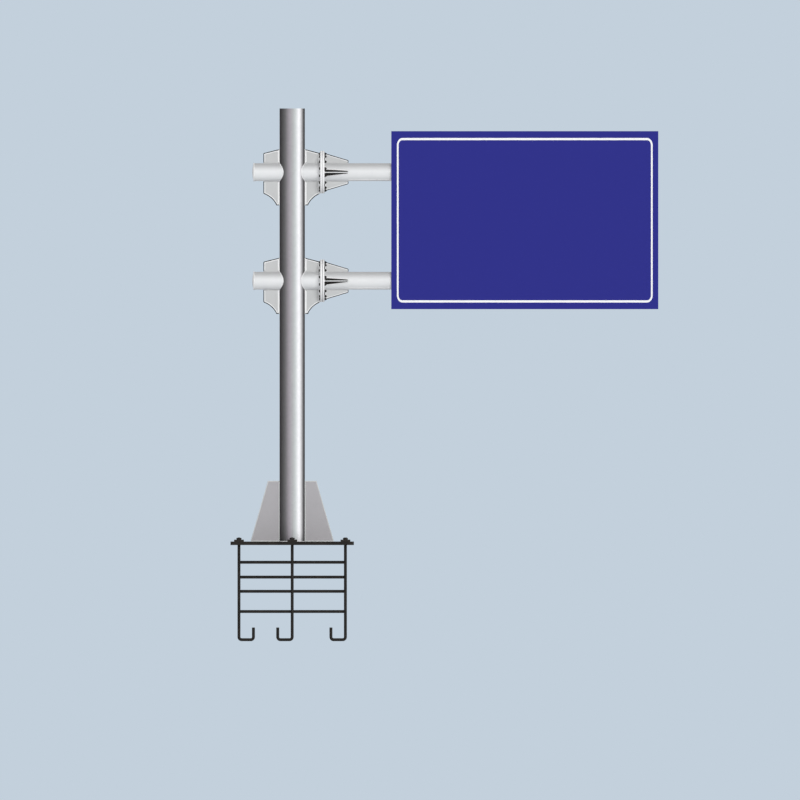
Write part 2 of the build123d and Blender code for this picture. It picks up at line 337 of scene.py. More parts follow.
finishEndings = {"pole": ("pole", "pole_cap"), "arm": ("_stub", "_arm", "_end_caps"), "film": "_sheet",
                 "gusset": ("_gussets", "_ribs"), "flange": "_flange", "stiffener": "_stiffener",
                 "rail": "_returns", "strap": "_clamps", "anchorNut": "_washers"}
mattFinishes = ("arm", "gusset", "flange", "stiffener")  # not seen in the polished pole


def finishOf(name):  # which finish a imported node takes, by the end of its name
    if name.startswith("sign_rail"):
        return "rail"
    return next((finish for finish, endings in finishEndings.items() if name.endswith(endings)), "black")


for name, node in nodes.items():
    node.data.materials.clear()
    node.data.materials.append(finishes[finishOf(name)])
    node.visible_glossy = finishOf(name) not in mattFinishes
print("finishes set")


# Bolts, nuts and rods: rings of points joined into closed forms along Z

hexForm = {"rim": 0.96, "chamfer": 30, "steps": 4}  # the chamfer's rim as a share of the width, its angle
threadForm = {"depth": 0.54, "tip": 0.8, "levels": 4}  # depth and chamfered tip in pitches, rings in a pitch


def addRings(sketch, rings):  # joins rings of equal count and caps both ends
    loops = [[sketch.verts.new(point) for point in ring] for ring in rings]
    count = len(loops[0])
    for lower, upper in zip(loops, loops[1:]):
        for i in range(count):
            j = (i + 1) % count
            sketch.faces.new((lower[i], lower[j], upper[j], upper[i]))
    sketch.faces.new(loops[0][::-1])
    sketch.faces.new(loops[-1])


def roundRing(radius, height, steps=24):
    turns = [2 * math.pi * i / steps for i in range(steps)]
    return [(radius * math.cos(turn), radius * math.sin(turn), height) for turn in turns]


def hexRing(width, height, trim):  # a hexagon's outline, its corners moved down by trim times the chamfer
    ring = []
    steps = hexForm["steps"]
    for i in range(6 * steps):
        turn = math.pi * i / (3 * steps)
        fromFlat = (turn + math.pi / 6) % (math.pi / 3) - math.pi / 6
        reach = width / 2 / math.cos(fromFlat)
        drop = (reach - width / 2 * hexForm["rim"]) * math.tan(math.radians(hexForm["chamfer"]))
        ring.append((reach * math.cos(turn), reach * math.sin(turn), height - trim * drop))
    return ring


def addHexagon(sketch, width, start, end, bothEnds=False):  # a head, or with bothEnds a nut
    rim = width / 2 * hexForm["rim"]
    rings = [hexRing(width, end, 1), roundRing(rim, end)]
    if bothEnds:
        addRings(sketch, [roundRing(rim, start), hexRing(width, start, -1)] + rings)
    else:
        addRings(sketch, [hexRing(width, start, 0)] + rings)


def addWasher(sketch, width, start, end, ease):
    radius = width / 2
    rings = [(radius - ease, start), (radius, start + ease), (radius, end - ease), (radius - ease, end)]
    addRings(sketch, [roundRing(*ring) for ring in rings])


def addThread(sketch, width, start, end, pitch, steps=16):  # a helical thread that ends in a chamfered tip
    depth = pitch * threadForm["depth"]
    count = round((end - start) / pitch * threadForm["levels"])
    rings = []
    for level in range(count + 1):
        height = start + (end - start) * level / count
        tip = max(0.0, 1 - (end - height) / (pitch * threadForm["tip"]))
        ring = []
        for i in range(steps):
            phase = (height / pitch - i / steps) % 1.0
            reach = width / 2 - depth * max(1 - abs(2 * phase - 1), tip)
            turn = 2 * math.pi * i / steps
            ring.append((reach * math.cos(turn), reach * math.sin(turn), height))
        rings.append(ring)
    addRings(sketch, rings)


def smoothMesh(mesh, sharpAngle):  # smooth except at real edges
    mesh.polygons.foreach_set("use_smooth", [True] * len(mesh.polygons))
    mesh.set_sharp_from_angle(angle=math.radians(sharpAngle))


def keepMesh(name, sketch, sharpAngle=32):  # closes a sketch into a mesh
    mesh = bpy.data.meshes.new(name)
    bmesh.ops.recalc_face_normals(sketch, faces=sketch.faces)
    sketch.to_mesh(mesh)
    sketch.free()
    smoothMesh(mesh, sharpAngle)
    return mesh


# Geometry Nodes: every tree takes points or paths as Geometry and a material as Finish, and its own inputs.
# A hexagon looks the same after a turn of hexTurn, so chance turns stay below it

hexTurn = math.radians(60)
barForm = {"bendPoints": 7, "sides": 20}
beadForm = {"ringsPerRipple": 3.0, "sides": 8}


def startTree(name, inputs):  # a tree with named inputs, given as name: (kind, default)
    tree = bpy.data.node_groups.new(name, "GeometryNodeTree")
    sockets = {"Geometry": ("Geometry", None), **inputs, "Finish": ("Material", None)}
    for label, (kind, value) in sockets.items():
        socket = tree.interface.new_socket(label, in_out="INPUT", socket_type="NodeSocket" + kind)
        if value is not None:
            socket.default_value = value
    tree.interface.new_socket("Geometry", in_out="OUTPUT", socket_type="NodeSocketGeometry")
    return tree, tree.nodes.new("NodeGroupInput").outputs, tree.nodes.new("NodeGroupOutput").inputs


def endTree(tree, given, result, shape):  # real geometry with its finish
    real = addNode(tree, "GeometryNodeRealizeInstances", links={"Geometry": shape})
    painted = addNode(tree, "GeometryNodeSetMaterial", links={
        "Geometry": real.outputs["Geometry"], "Material": given["Finish"]})
    tree.links.new(painted.outputs["Geometry"], result["Geometry"])
    return tree


def growPiece(name, tree, values, points, edges=(), sharpAngle=32):  # runs a tree on points and edges
    source = bpy.data.meshes.new(name + "Source")
    source.from_pydata(points, edges, [])
    piece = newObject(name, source)
    modifier = piece.modifiers.new("grow", "NODES")
    modifier.node_group = tree
    for item in tree.interface.items_tree:
        if item.in_out == "INPUT" and item.name in values:
            modifier[item.identifier] = values[item.name]
    depsgraph = bpy.context.evaluated_depsgraph_get()
    grown = bpy.data.meshes.new_from_object(piece.evaluated_get(depsgraph), depsgraph=depsgraph)
    piece.modifiers.remove(modifier)
    piece.data = grown
    grown.name = name
    smoothMesh(grown, sharpAngle)
    return piece


def growFasteners(name, tree, sketch, values, points):  # a fastener, sketched in millimetres, at every point
    bmesh.ops.scale(sketch, verts=sketch.verts, vec=(mm, mm, mm))
    pattern = newObject(name + "Pattern", keepMesh(name + "Pattern", sketch))
    piece = growPiece(name, tree, {"Fastener": pattern, **values}, points)
    bpy.data.objects.remove(pattern)
    return piece


def addChanceTurn(tree, given):  # the fastener's shape, and a turn about its axis that no other copy has
    shape = addNode(tree, "GeometryNodeObjectInfo", links={"Object": given["Fastener"]}).outputs["Geometry"]
    chance = addNode(tree, "FunctionNodeRandomValue", {"data_type": "FLOAT", 3: hexTurn},
                     {"Seed": given["Seed"]})
    return shape, addNode(tree, "ShaderNodeCombineXYZ", links={"Z": chance.outputs[1]}).outputs["Vector"]


def makeFastenerTree():  # one fastener on each point
    tree, given, result = startTree("fastenersOnPoints", {
        "Fastener": ("Object", None), "Facing": ("Vector", (0.0, 0.0, 0.0)), "Seed": ("Int", 1)})
    shape, spin = addChanceTurn(tree, given)
    turned = addNode(tree, "FunctionNodeRotateEuler", {"rotation_type": "EULER", "space": "LOCAL"},
                     {"Rotation": given["Facing"], "Rotate By": spin})
    copies = addNode(tree, "GeometryNodeInstanceOnPoints", links={
        "Points": given["Geometry"], "Instance": shape, "Rotation": turned.outputs["Rotation"]})
    return endTree(tree, given, result, copies.outputs["Instances"])


def makeFlangeRingTree():  # a ring of fasteners at each arm, its axis along X
    tree, given, result = startTree("flangeRings", {
        "Fastener": ("Object", None), "Count": ("Int", 16), "Circle Radius": ("Float", 0.3),
        "Seed": ("Int", 1)})
    shape, spin = addChanceTurn(tree, given)
    circle = addNode(tree, "GeometryNodeMeshCircle", links={
        "Vertices": given["Count"], "Radius": given["Circle Radius"]})
    halfPitch = addNode(tree, "ShaderNodeMath", {"operation": "DIVIDE", 0: math.pi}, {1: given["Count"]})
    aside = addNode(tree, "ShaderNodeCombineXYZ", links={"Z": halfPitch.outputs["Value"]})
    offRibs = addNode(tree, "GeometryNodeTransform", links={
        "Geometry": circle.outputs["Mesh"], "Rotation": aside.outputs["Vector"]})
    ring = addNode(tree, "GeometryNodeInstanceOnPoints", links={
        "Points": offRibs.outputs["Geometry"], "Instance": shape, "Rotation": spin})
    alongArm = addNode(tree, "GeometryNodeTransform", {"Rotation": (0.0, math.radians(90), 0.0)},
                       {"Geometry": ring.outputs["Instances"]})
    rings = addNode(tree, "GeometryNodeInstanceOnPoints", links={
        "Points": given["Geometry"], "Instance": alongArm.outputs["Geometry"]})
    return endTree(tree, given, result, rings.outputs["Instances"])


def makeRodTree():  # round bars along every path, with bent corners, repeated in a row
    tree, given, result = startTree("roundBars", {
        "Bar Radius": ("Float", 0.02), "Bend Radius": ("Float", 0.0), "Row Count": ("Int", 1),
        "Row Start": ("Vector", (0.0, 0.0, 0.0)), "Row Step": ("Vector", (0.0, 0.0, 0.0))})
    path = addNode(tree, "GeometryNodeMeshToCurve", links={"Mesh": given["Geometry"]})
    bent = addNode(tree, "GeometryNodeFilletCurve", {"mode": "POLY", "Count": barForm["bendPoints"]},
                   {"Curve": path.outputs["Curve"], "Radius": given["Bend Radius"]})
    profile = addNode(tree, "GeometryNodeCurvePrimitiveCircle", {"Resolution": barForm["sides"]},
                      {"Radius": given["Bar Radius"]})
    bar = addNode(tree, "GeometryNodeCurveToMesh", {"Fill Caps": True},
                  {"Curve": bent.outputs["Curve"], "Profile Curve": profile.outputs["Curve"]})
    row = addNode(tree, "GeometryNodeMeshLine", {"mode": "OFFSET"}, {
        "Count": given["Row Count"], "Start Location": given["Row Start"], "Offset": given["Row Step"]})
    bars = addNode(tree, "GeometryNodeInstanceOnPoints", links={
        "Points": row.outputs["Mesh"], "Instance": bar.outputs["Mesh"]})
    return endTree(tree, given, result, bars.outputs["Instances"])


def makeWeldTree():  # a rippled bead along every path
    tree, given, result = startTree("weldBeads", {
        "Bead Radius": ("Float", 0.01), "Ripple Length": ("Float", 0.02), "Ripple": ("Float", 0.1)})
    path = addNode(tree, "GeometryNodeMeshToCurve", links={"Mesh": given["Geometry"]})
    step = addNode(tree, "ShaderNodeMath", {"operation": "DIVIDE", 1: beadForm["ringsPerRipple"]},
                   {0: given["Ripple Length"]})
    even = addNode(tree, "GeometryNodeResampleCurve", {"mode": "LENGTH"},
                   {"Curve": path.outputs["Curve"], "Length": step.outputs["Value"]})
    along = addNode(tree, "GeometryNodeSplineParameter").outputs["Length"]
    ripples = addNode(tree, "ShaderNodeMath", {"operation": "DIVIDE"}, {0: along, 1: given["Ripple Length"]})
    turns = addNode(tree, "ShaderNodeMath", {"operation": "MULTIPLY", 1: 2 * math.pi},
                    {0: ripples.outputs["Value"]})
    wave = addNode(tree, "ShaderNodeMath", {"operation": "SINE"}, {0: turns.outputs["Value"]})
    swell = addNode(tree, "ShaderNodeMath", {"operation": "MULTIPLY_ADD", 2: 1.0},
                    {0: wave.outputs["Value"], 1: given["Ripple"]})
    profile = addNode(tree, "GeometryNodeCurvePrimitiveCircle", {"Resolution": beadForm["sides"]},
                      {"Radius": given["Bead Radius"]})
    bead = addNode(tree, "GeometryNodeCurveToMesh", {"Fill Caps": True}, {
        "Curve": even.outputs["Curve"], "Profile Curve": profile.outputs["Curve"],
        "Scale": swell.outputs["Value"]})
    return endTree(tree, given, result, bead.outputs["Mesh"])


# Flange bolts: high-strength hexagon bolts through both flanges, black, on bright washers

flangeBolt = {"circle": 630, "count": 16, "width": 38, "head": 17, "nut": 23, "thread": 24, "end": 11,
              "pitch": 4, "washer": 46, "washerThick": 4, "ease": 0.6, "seed": 3}


def makeFlangeBolts(ringTree):
    size = flangeBolt
    thick = size["washerThick"]
    grip = (armFlangeHigh.x - stubFlangeLow.x) / mm
    centres = [(stubFlangeLow.x, 0.0, armHeights[name]) for name in armNames]
    bolt = bmesh.new()
    addHexagon(bolt, size["width"], thick, thick + size["head"])
    bmesh.ops.rotate(bolt, verts=bolt.verts, matrix=Matrix.Rotation(math.pi, 3, "X"))
    nutStart = grip + thick
    addHexagon(bolt, size["width"], nutStart, nutStart + size["nut"], bothEnds=True)
    addThread(bolt, size["thread"], nutStart, nutStart + size["nut"] + size["end"], size["pitch"])
    washers = bmesh.new()
    addWasher(washers, size["washer"], -thick, 0, size["ease"])
    addWasher(washers, size["washer"], grip, grip + thick, size["ease"])
    for name, sketch, finish, slot in (
            ("flangeBolts", bolt, "blackBolt", "black_steel"),
            ("flangeWashers", washers, "strap", "strap_steel")):
        piece = growFasteners(name, ringTree, sketch, {
            "Count": size["count"], "Circle Radius": size["circle"] / 2 * mm, "Seed": size["seed"],
            "Finish": finishes[finish]}, centres)
        piece.visible_glossy = False
        finishPiece(piece, slot)


# Anchor steel: hooked rods, tie bars, nuts and thread ends, black

anchorSteel = {"rod": 50, "rodEnd": 2, "hookLength": 244, "hookRise": 206, "bend": 45, "tieBar": 50,
               "hoops": 4, "nutWidth": 75, "nutHeight": 30, "pitch": 5, "threadSink": 4, "threadSteps": 24,
               "seed": 8}
anchorRow = -(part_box("anchor_bolts_left")[0].x + anchorSteel["rod"] / 2 * mm)  # the outer rows' distance


def makeAnchorRods(rodTree):
    size = anchorSteel
    radius = size["rod"] / 2 * mm
    columns = {"left": (-anchorRow, 1, 3), "middle": (0.0, -1, 2), "right": (anchorRow, -1, 3)}
    for name, (x, side, count) in columns.items():
        toe = x + side * size["hookLength"] * mm
        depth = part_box("anchor_bolts_" + name)[0].z + radius
        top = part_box("anchor_nuts")[1].z - size["rodEnd"] * mm
        route = [(x, 0.0, top), (x, 0.0, depth), (toe, 0.0, depth), (toe, 0.0, depth + size["hookRise"] * mm)]
        piece = growPiece("anchorRods" + name.capitalize(), rodTree, {
            "Bar Radius": radius, "Bend Radius": size["bend"] * mm, "Row Count": count,
            "Row Start": (0.0, -anchorRow, 0.0), "Row Step": (0.0, 2 * anchorRow / (count - 1), 0.0),
            "Finish": finishes["black"]}, route, [(0, 1), (1, 2), (2, 3)])
        finishPiece(piece, "black_steel", "anchor_bolts_" + name)


def makeTieBars(rodTree):
    radius = anchorSteel["tieBar"] / 2 * mm
    hoops = ["anchor_hoop_%d" % (number + 1) for number in range(anchorSteel["hoops"])]
    points, edges = [], []
    for name in hoops:
        low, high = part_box(name)
        middle, across = (low.z + high.z) / 2, high.y - radius
        inner = across - radius
        for side in (-1, 1):
            points += [(low.x, side * across, middle), (high.x, side * across, middle),
                       (side * across, -inner, middle), (side * across, inner, middle)]
            edges += [(len(points) - 4, len(points) - 3), (len(points) - 2, len(points) - 1)]
    piece = growPiece("anchorTieBars", rodTree, {"Bar Radius": radius, "Finish": finishes["black"]}, points,
                      edges)
    finishPiece(piece, "black_steel", *hoops)


def makeAnchorNuts(fastenerTree):
    size = anchorSteel
    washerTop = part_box("anchor_washers")[1].z
    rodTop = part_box("anchor_bolts_left")[1].z
    rows = (-anchorRow, 0.0, anchorRow)
    nut = bmesh.new()
    addHexagon(nut, size["nutWidth"], 0, size["nutHeight"], bothEnds=True)
    addThread(nut, size["rod"], size["nutHeight"] - size["threadSink"], (rodTop - washerTop) / mm,
              size["pitch"], size["threadSteps"])
    piece = growFasteners("anchorNuts", fastenerTree, nut, {
        "Seed": size["seed"], "Finish": finishes["anchorNut"]},
        [(x, y, washerTop) for x in rows for y in rows if x or y])
    finishPiece(piece, "black_steel", "anchor_nuts")


# Clamp bolts: one through each strap ear into the rail's slot

clampBolt = {"ear": 50, "strap": 6, "width": 19, "head": 8, "washer": 26, "washerThick": 2.5, "ease": 0.4,
             "rails": 5, "seed": 5}


def makeClampBolts(fastenerTree):
    size = clampBolt
    points = []
    for armName in armNames:
        low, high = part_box(armName + "_sign_clamps")
        for number in range(1, size["rails"] + 1):
            railLow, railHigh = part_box("sign_rail_%d" % number)
            behind = railHigh.y + size["strap"] * mm
            points += [((railLow.x + railHigh.x) / 2, behind, z) for z in
                       (low.z + size["ear"] / 2 * mm, high.z - size["ear"] / 2 * mm)]
    bolt = bmesh.new()
    addWasher(bolt, size["washer"], 0, size["washerThick"], size["ease"])
    addHexagon(bolt, size["width"], size["washerThick"], size["washerThick"] + size["head"])
    piece = growFasteners("clampBolts", fastenerTree, bolt, {
        "Facing": (math.radians(-90), 0.0, 0.0), "Seed": size["seed"], "Finish": finishes["strap"]}, points)
    finishPiece(piece, "strap_steel")


# Weld beads where plates and tubes meet, and along the arms' tubes

weldLook = {"bead": 9, "ripple": 0.12, "rippleLength": 26, "seamSteps": 40, "sharpAngle": 60,
            "tubeSeamTurn": 56, "tubeSeamSink": 4}  # degrees below the arm's front, and how deep it lies
ribForm = {"thickness": 24, "cope": 243}  # the upright ribs' welds to the flange run from the rim down to this height, so the dark rim of painted shade shows as a line below it


def reachAt(radius, aside):  # how far a round tube reaches at a place aside of its middle
    return math.sqrt(radius ** 2 - aside ** 2)


def plateSeams():  # seams of the gussets, stiffeners and ribs by finish, each a list of points
    seams = {"weld": [], "gusset": [], "stiffenerEdge": []}
    for side, name in ((-1, "left"), (1, "right")):
        low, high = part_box(name + "_stiffener")
        outer = high.x if side > 0 else low.x
        face = side * reachAt(poleRadius, high.y)
        for y in (-high.y, high.y):
            corner = (face, y, plateHigh.z)
            seams["stiffenerEdge"] += [[corner, (outer, y, plateHigh.z)], [corner, (face, y, high.z)]]
        for armName in armNames:
            middle = armHeights[armName]
            low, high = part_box(armName + "_" + name + "_gussets")
            outer = high.x if side > 0 else low.x
            face = side * reachAt(poleRadius, high.y)
            crest = reachAt(armRadius, high.y)
            for y in (-high.y, high.y):
                for z, end in ((middle - crest, low.z), (middle + crest, high.z)):
                    seams["weld"].append([(face, y, z), (face, y, end)])
                    seams["gusset"].append([(face, y, z), (outer, y, z)])
    for armName in armNames:
        low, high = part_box(armName + "_arm_ribs")
        middle, reach = armHeights[armName], (high.z - low.z) / 2
        half = ribForm["thickness"] / 2 * mm
        crest = reachAt(armRadius, half)
        corners = ((low.x, reach), (low.x, ribForm["cope"] * mm), (low.x, crest), (high.x, crest))
        for quarter in range(4):
            turn = Matrix.Rotation(quarter * math.pi / 2, 3, "X")
            upright = quarter in (0, 2)  # the front and back ribs have a dark wedge of painted shadow along the tube instead
            for aside in (-half, half):
                rim, cope, root, toe = (
                    turn @ Vector((x, aside, z)) + Vector((0, 0, middle)) for x, z in corners)
                seams["weld"].append([tuple(rim), tuple(cope if upright else root)])
                if upright:
                    seams["gusset"].append([tuple(root), tuple(toe)])
    return seams


def ringSeams():  # seams round the pole, the stubs and the flanges, as closed lists of points
    steps = weldLook["seamSteps"]
    seams = [roundRing(poleRadius, plateHigh.z, steps)]
    for armName in armNames:
        ring = [(y, armHeights[armName] + z) for y, z, _ in roundRing(armRadius, 0.0, steps)]
        seams += [[(side * reachAt(poleRadius, y), y, z) for y, z in ring] for side in (-1, 1)]
        ends = (stubFlangeLow.x, armFlangeHigh.x, armBoxes[armName][1].x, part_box(armName + "_left_stub")[0].x)
        seams += [[(x, y, z) for y, z in ring] for x in ends]
    return seams


def tubeSeams():  # the arms' long seams, low on the front side, from the ribs to the tubes' ends; their white bead paints a highlight along the tubes' lower edge
    turn = math.radians(weldLook["tubeSeamTurn"])
    radius = armRadius - weldLook["tubeSeamSink"] * mm
    return [[(x, -radius * math.cos(turn), armHeights[armName] - radius * math.sin(turn))
             for x in (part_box(armName + "_arm_ribs")[1].x, armBoxes[armName][1].x)]
            for armName in armNames]


def makeWelds():
    tree = makeWeldTree()
    seams = plateSeams()
    seams["weld"] += shadowWedgeSeams() + tubeSeams()
    rings = {"weld": ringSeams()}
    for name, finish, slot in (("jointWelds", "weld", "arm_steel"), ("plateWelds", "gusset", "arm_steel"),
                               ("stiffenerWelds", "stiffenerEdge", "stiffener_paint")):
        points, edges = [], []
        for group, closed in ((seams[finish], False), (rings.get(finish, []), True)):
            for seam in group:
                first = len(points)
                points += seam
                edges += [(i, i + 1) for i in range(first, len(points) - 1)]
                if closed:
                    edges.append((len(points) - 1, first))
        piece = growPiece(name, tree, {
            "Bead Radius": weldLook["bead"] * mm, "Ripple Length": weldLook["rippleLength"] * mm,
            "Ripple": weldLook["ripple"], "Finish": finishes[finish]}, points, edges, weldLook["sharpAngle"])
        piece.visible_glossy = False
        finishPiece(piece, slot)


# Gussets, ribs, stiffeners and flanges with bevelled edges coloured as painted light and shade: a dark rim of
# painted shade and a painted highlight line inside it on gussets and ribs, a painted highlight rim on
# stiffeners and a grey rim of painted shade on flanges

plateEdge = {"bevel": {"gusset": 9, "stiffener": 5, "flange": 7}, "strip": {"gusset": 6, "rib": 4},
             "line": {"gusset": 14, "rib": 11, "stiffener": 8}, "mergeGap": 0.01, "flatAngle": 1,
             "leastFace": {"gusset": 0.012, "stiffener": 0.1},  # square metres, for a face with rims
             "margin": 1.2, "outward": 0.5, "lowerBevel": (-0.9, 0.3), "sharpAngle": 35, "smoothAngle": 25}
plateFinish, rimFinish, lineFinish = 0, 1, 2  # the places of a plate's materials
lineFinishes = {"gusset": "edgeLine", "stiffener": "stiffenerEdge", "flange": "flangeEdge"}
plateSlots = {"gusset": "arm_steel", "stiffener": "stiffener_paint", "flange": "flange_paint"}
plateEndings = {"gusset": ("_gussets", "_ribs"), "stiffener": ("_stiffener",), "flange": (
    "lower_stub_flange", "lower_arm_flange", "upper_stub_flange", "upper_arm_flange")}


def trimLines(sketch, name):  # no lines along the tubes; painted highlight rims at the pole, the flange and the outer ribs
    middle = armHeights[name.split("_")[0]]
    margin = sum(plateEdge[part]["gusset"] for part in ("bevel", "strip", "line")) * plateEdge["margin"] * mm
    least, most = plateEdge["lowerBevel"]
    for face in sketch.faces:
        spots = [vert.co for vert in face.verts]
        outer = abs(face.calc_center_median().y) > armRadius
        if face.material_index == plateFinish:
            if outer and abs(face.normal.y) > plateEdge["outward"]:
                face.material_index = lineFinish  # the narrow face between the painted shadow wedges takes the painted highlight
        elif all(math.hypot(spot.y, spot.z - middle) < armRadius + margin for spot in spots):
            face.material_index = plateFinish
        elif name.endswith("gussets") and (
                all(math.hypot(spot.x, spot.y) < poleRadius + margin for spot in spots) or
                all(spot.x > stubFlangeLow.x - margin for spot in spots)):
            face.material_index = lineFinish
        elif outer and least < face.normal.z < most:
            face.material_index = lineFinish  # the side and lower bevels take the painted highlight; the edge's upper bevel keeps its painted shade


def makeGroundPlates():
    size = plateEdge
    for finish, endings in plateEndings.items():
        for name in [name for ending in endings for name in nodes if name.endswith(ending)]:
            sketch = bmesh.new()
            sketch.from_mesh(nodes[name].data)
            bmesh.ops.remove_doubles(sketch, verts=sketch.verts, dist=size["mergeGap"] * mm)
            bmesh.ops.dissolve_limit(
                sketch, angle_limit=math.radians(size["flatAngle"]), verts=sketch.verts, edges=sketch.edges)
            corners = [edge for edge in sketch.edges
                       if edge.calc_face_angle(0.0) > math.radians(size["sharpAngle"])]
            bmesh.ops.bevel(sketch, geom=corners, offset=size["bevel"][finish] * mm, segments=1, profile=0.5,
                            affect="EDGES", material=rimFinish, clamp_overlap=True)
            kind = "rib" if name.endswith("_ribs") else finish
            if kind in size["line"]:
                broad = [face for face in sketch.faces if face.calc_area() > size["leastFace"][finish]]
                for layer, part in (("strip", rimFinish), ("line", lineFinish)):
                    if kind in size[layer]:
                        rims = bmesh.ops.inset_individual(
                            sketch, faces=broad, use_even_offset=True, thickness=size[layer][kind] * mm)
                        for face in rims["faces"]:
                            face.material_index = part
            if finish == "gusset":
                trimLines(sketch, name)
            pieceName = name.title().replace("_", "")
            pieceName = pieceName[0].lower() + pieceName[1:]
            piece = newObject(pieceName, keepMesh(name, sketch, size["smoothAngle"]))
            for part in (finish, finish + "Edge", lineFinishes[finish]):
                piece.data.materials.append(finishes[part])
            piece.visible_glossy = False
            finishPiece(piece, plateSlots[finish], name)


# Painted shadow: dark tapered wedges at the root of the front and back ribs, where the ribs' shadow falls on
# the tube

ribShadowWedge = {"length": 388, "rise": {1: 34, -1: 56}, "tipRise": 9,  # rise above the rib and below it
           "proud": 30, "tipProud": 3, "sink": 6, "steps": 8, "seamClear": 0.8,  # clear of the bead, in radii
           "waistProud": 0.45, "waistRise": 0.42}  # shares of proud and rise at the hollow's middle


def shadowWedgeStations(side):  # X place, rise and proud height of the shadow wedge, from the flange to its tip
    stations = []
    for step in range(ribShadowWedge["steps"] + 1):
        share = 1 - step / ribShadowWedge["steps"]
        rise = ribShadowWedge["tipRise"] + (ribShadowWedge["rise"][side] - ribShadowWedge["tipRise"]) * share
        proud = ribShadowWedge["tipProud"] + (ribShadowWedge["proud"] - ribShadowWedge["tipProud"]) * share
        stations.append((armFlangeHigh.x + ribShadowWedge["length"] * (1 - share) * mm, rise * mm, proud * mm))
    return stations


def shadowWedgeSeams():  # the outer edge of each painted shadow wedge, as lists of points
    clear = (ribForm["thickness"] / 2 + weldLook["bead"] * ribShadowWedge["seamClear"]) * mm
    paths = {side: [(x, clear + rise, reachAt(armRadius, clear + rise))
                    for x, rise, proud in shadowWedgeStations(side)] for side in ribShadowWedge["rise"]}
    return [[(x, face * out, armHeights[armName] + side * aside) for x, aside, out in path]
            for armName in armNames for face in (-1, 1) for side, path in paths.items()]


def makeRibShadowWedges():
    sink, half = ribShadowWedge["sink"] * mm, ribForm["thickness"] / 2 * mm
    root = reachAt(armRadius, half)
    sketch = bmesh.new()
    for armName in armNames:
        for face in (-1, 1):
            for side in (-1, 1):
                sections = []
                for x, rise, proud in shadowWedgeStations(side):
                    surface = reachAt(armRadius, half + rise)
                    outline = [(surface - sink, half + rise), (surface, half + rise),
                               (root + proud * ribShadowWedge["waistProud"], half + rise * ribShadowWedge["waistRise"]),
                               (root + proud, half), (root - sink, half)]
                    sections.append([(x, face * y, armHeights[armName] + side * z) for y, z in outline])
                addRings(sketch, sections)
    piece = newObject("ribRootFill", keepMesh("ribRootFill", sketch))
    # the wedges are painted shadow of the ribs
    piece.data.materials.append(finishes["fill"])
    piece.visible_glossy = False
    finishPiece(piece, "black_steel")


# White border line of the sign, a strip of film laid on the blue

borderLine = {"sideInset": 95, "topInset": 115, "bottomInset": 112, "sideWidth": 28, "topWidth": 37,
              "bottomWidth": 37, "cornerWide": 92, "cornerHigh": 124, "thickness": 0.5, "cornerSteps": 10}


def borderLoop(left, right, low, high, wide, tall):  # a rectangle with elliptical corners, anticlockwise
    loop = []
    steps = borderLine["cornerSteps"]
    corners = ((right - wide, high - tall), (left + wide, high - tall), (left + wide, low + tall),
               (right - wide, low + tall))
    for quarter, (x, z) in enumerate(corners):
        for step in range(steps + 1):
            turn = math.pi / 2 * (quarter + step / steps)
            loop.append((x + wide * math.cos(turn), z + tall * math.sin(turn)))
    return loop


def makeBorder():
    size = {part: value * mm for part, value in borderLine.items()}
    left, right = sheetLow.x + size["sideInset"], sheetHigh.x - size["sideInset"]
    low, high = sheetLow.z + size["bottomInset"], sheetHigh.z - size["topInset"]
    wide, tall, side = size["cornerWide"], size["cornerHigh"], size["sideWidth"]
    outer = borderLoop(left, right, low, high, wide, tall)
    inner = borderLoop(left + side, right - side, low + size["bottomWidth"], high - size["topWidth"],
                       wide - side, tall - size["topWidth"])
    front, back = sheetLow.y - size["thickness"], sheetLow.y
    sketch = bmesh.new()
    loops = [[sketch.verts.new((x, y, z)) for x, z in loop] for loop, y in
             ((outer, back), (outer, front), (inner, front), (inner, back))]
    count = len(outer)
    for one, other in zip(loops, loops[1:] + loops[:1]):
        for i in range(count):
            j = (i + 1) % count
            sketch.faces.new((one[i], one[j], other[j], other[i]))
    piece = newObject("signBorder", keepMesh("signBorder", sketch))
    piece.data.materials.append(finishes["border"])
    finishPiece(piece, "sign_film")


fastenerTree = makeFastenerTree()
rodTree = makeRodTree()
makeFlangeBolts(makeFlangeRingTree())
makeAnchorRods(rodTree)
makeTieBars(rodTree)
makeAnchorNuts(fastenerTree)
makeClampBolts(fastenerTree)
makeWelds()
makeGroundPlates()
makeRibShadowWedges()
makeBorder()
print("pieces added")


# Light, floor and camera

lightLook = {"ambient": 0.42, "angle": 24, "background": "#C3D0DC", "groundLevel": 0.62, "groundShare": 0.8,
             "groundFrom": (-0.1, -0.3),  # below the horizon, where polished steel begins to see the floor
             "lamps": {"key": (10, 16, 1.63), "fill": (-62, 6, 0.22),  # compass angle, height and strength
                       "back": (196, 9, 1.5)}}

# What polished steel sees around it, by compass angle from the camera's side: a tall soft light at the right
# front, a weaker one behind, and dark walls between them
surroundings = [(-180, 0.75), (-166, 0.7), (-152, 0.05), (-120, 0.065, "mauve"), (-85, 0.1), (-60, 0.2),
                (-40, 0.4, "mauve"), (-20, 0.57, "mauve"), (0, 0.66), (18, 0.82, "green"),
                (36, 1.08, "green"), (50, 1.45), (62, 1.75), (74, 1.55), (90, 0.96), (104, 0.46),
                (118, 0.15), (140, 0.06), (160, 0.1), (170, 0.7), (180, 0.75)]
wallTints = {"plain": (1.0, 1.0, 1.01), "mauve": (1.03, 0.94, 1.03), "green": (0.96, 1.03, 1.01)}


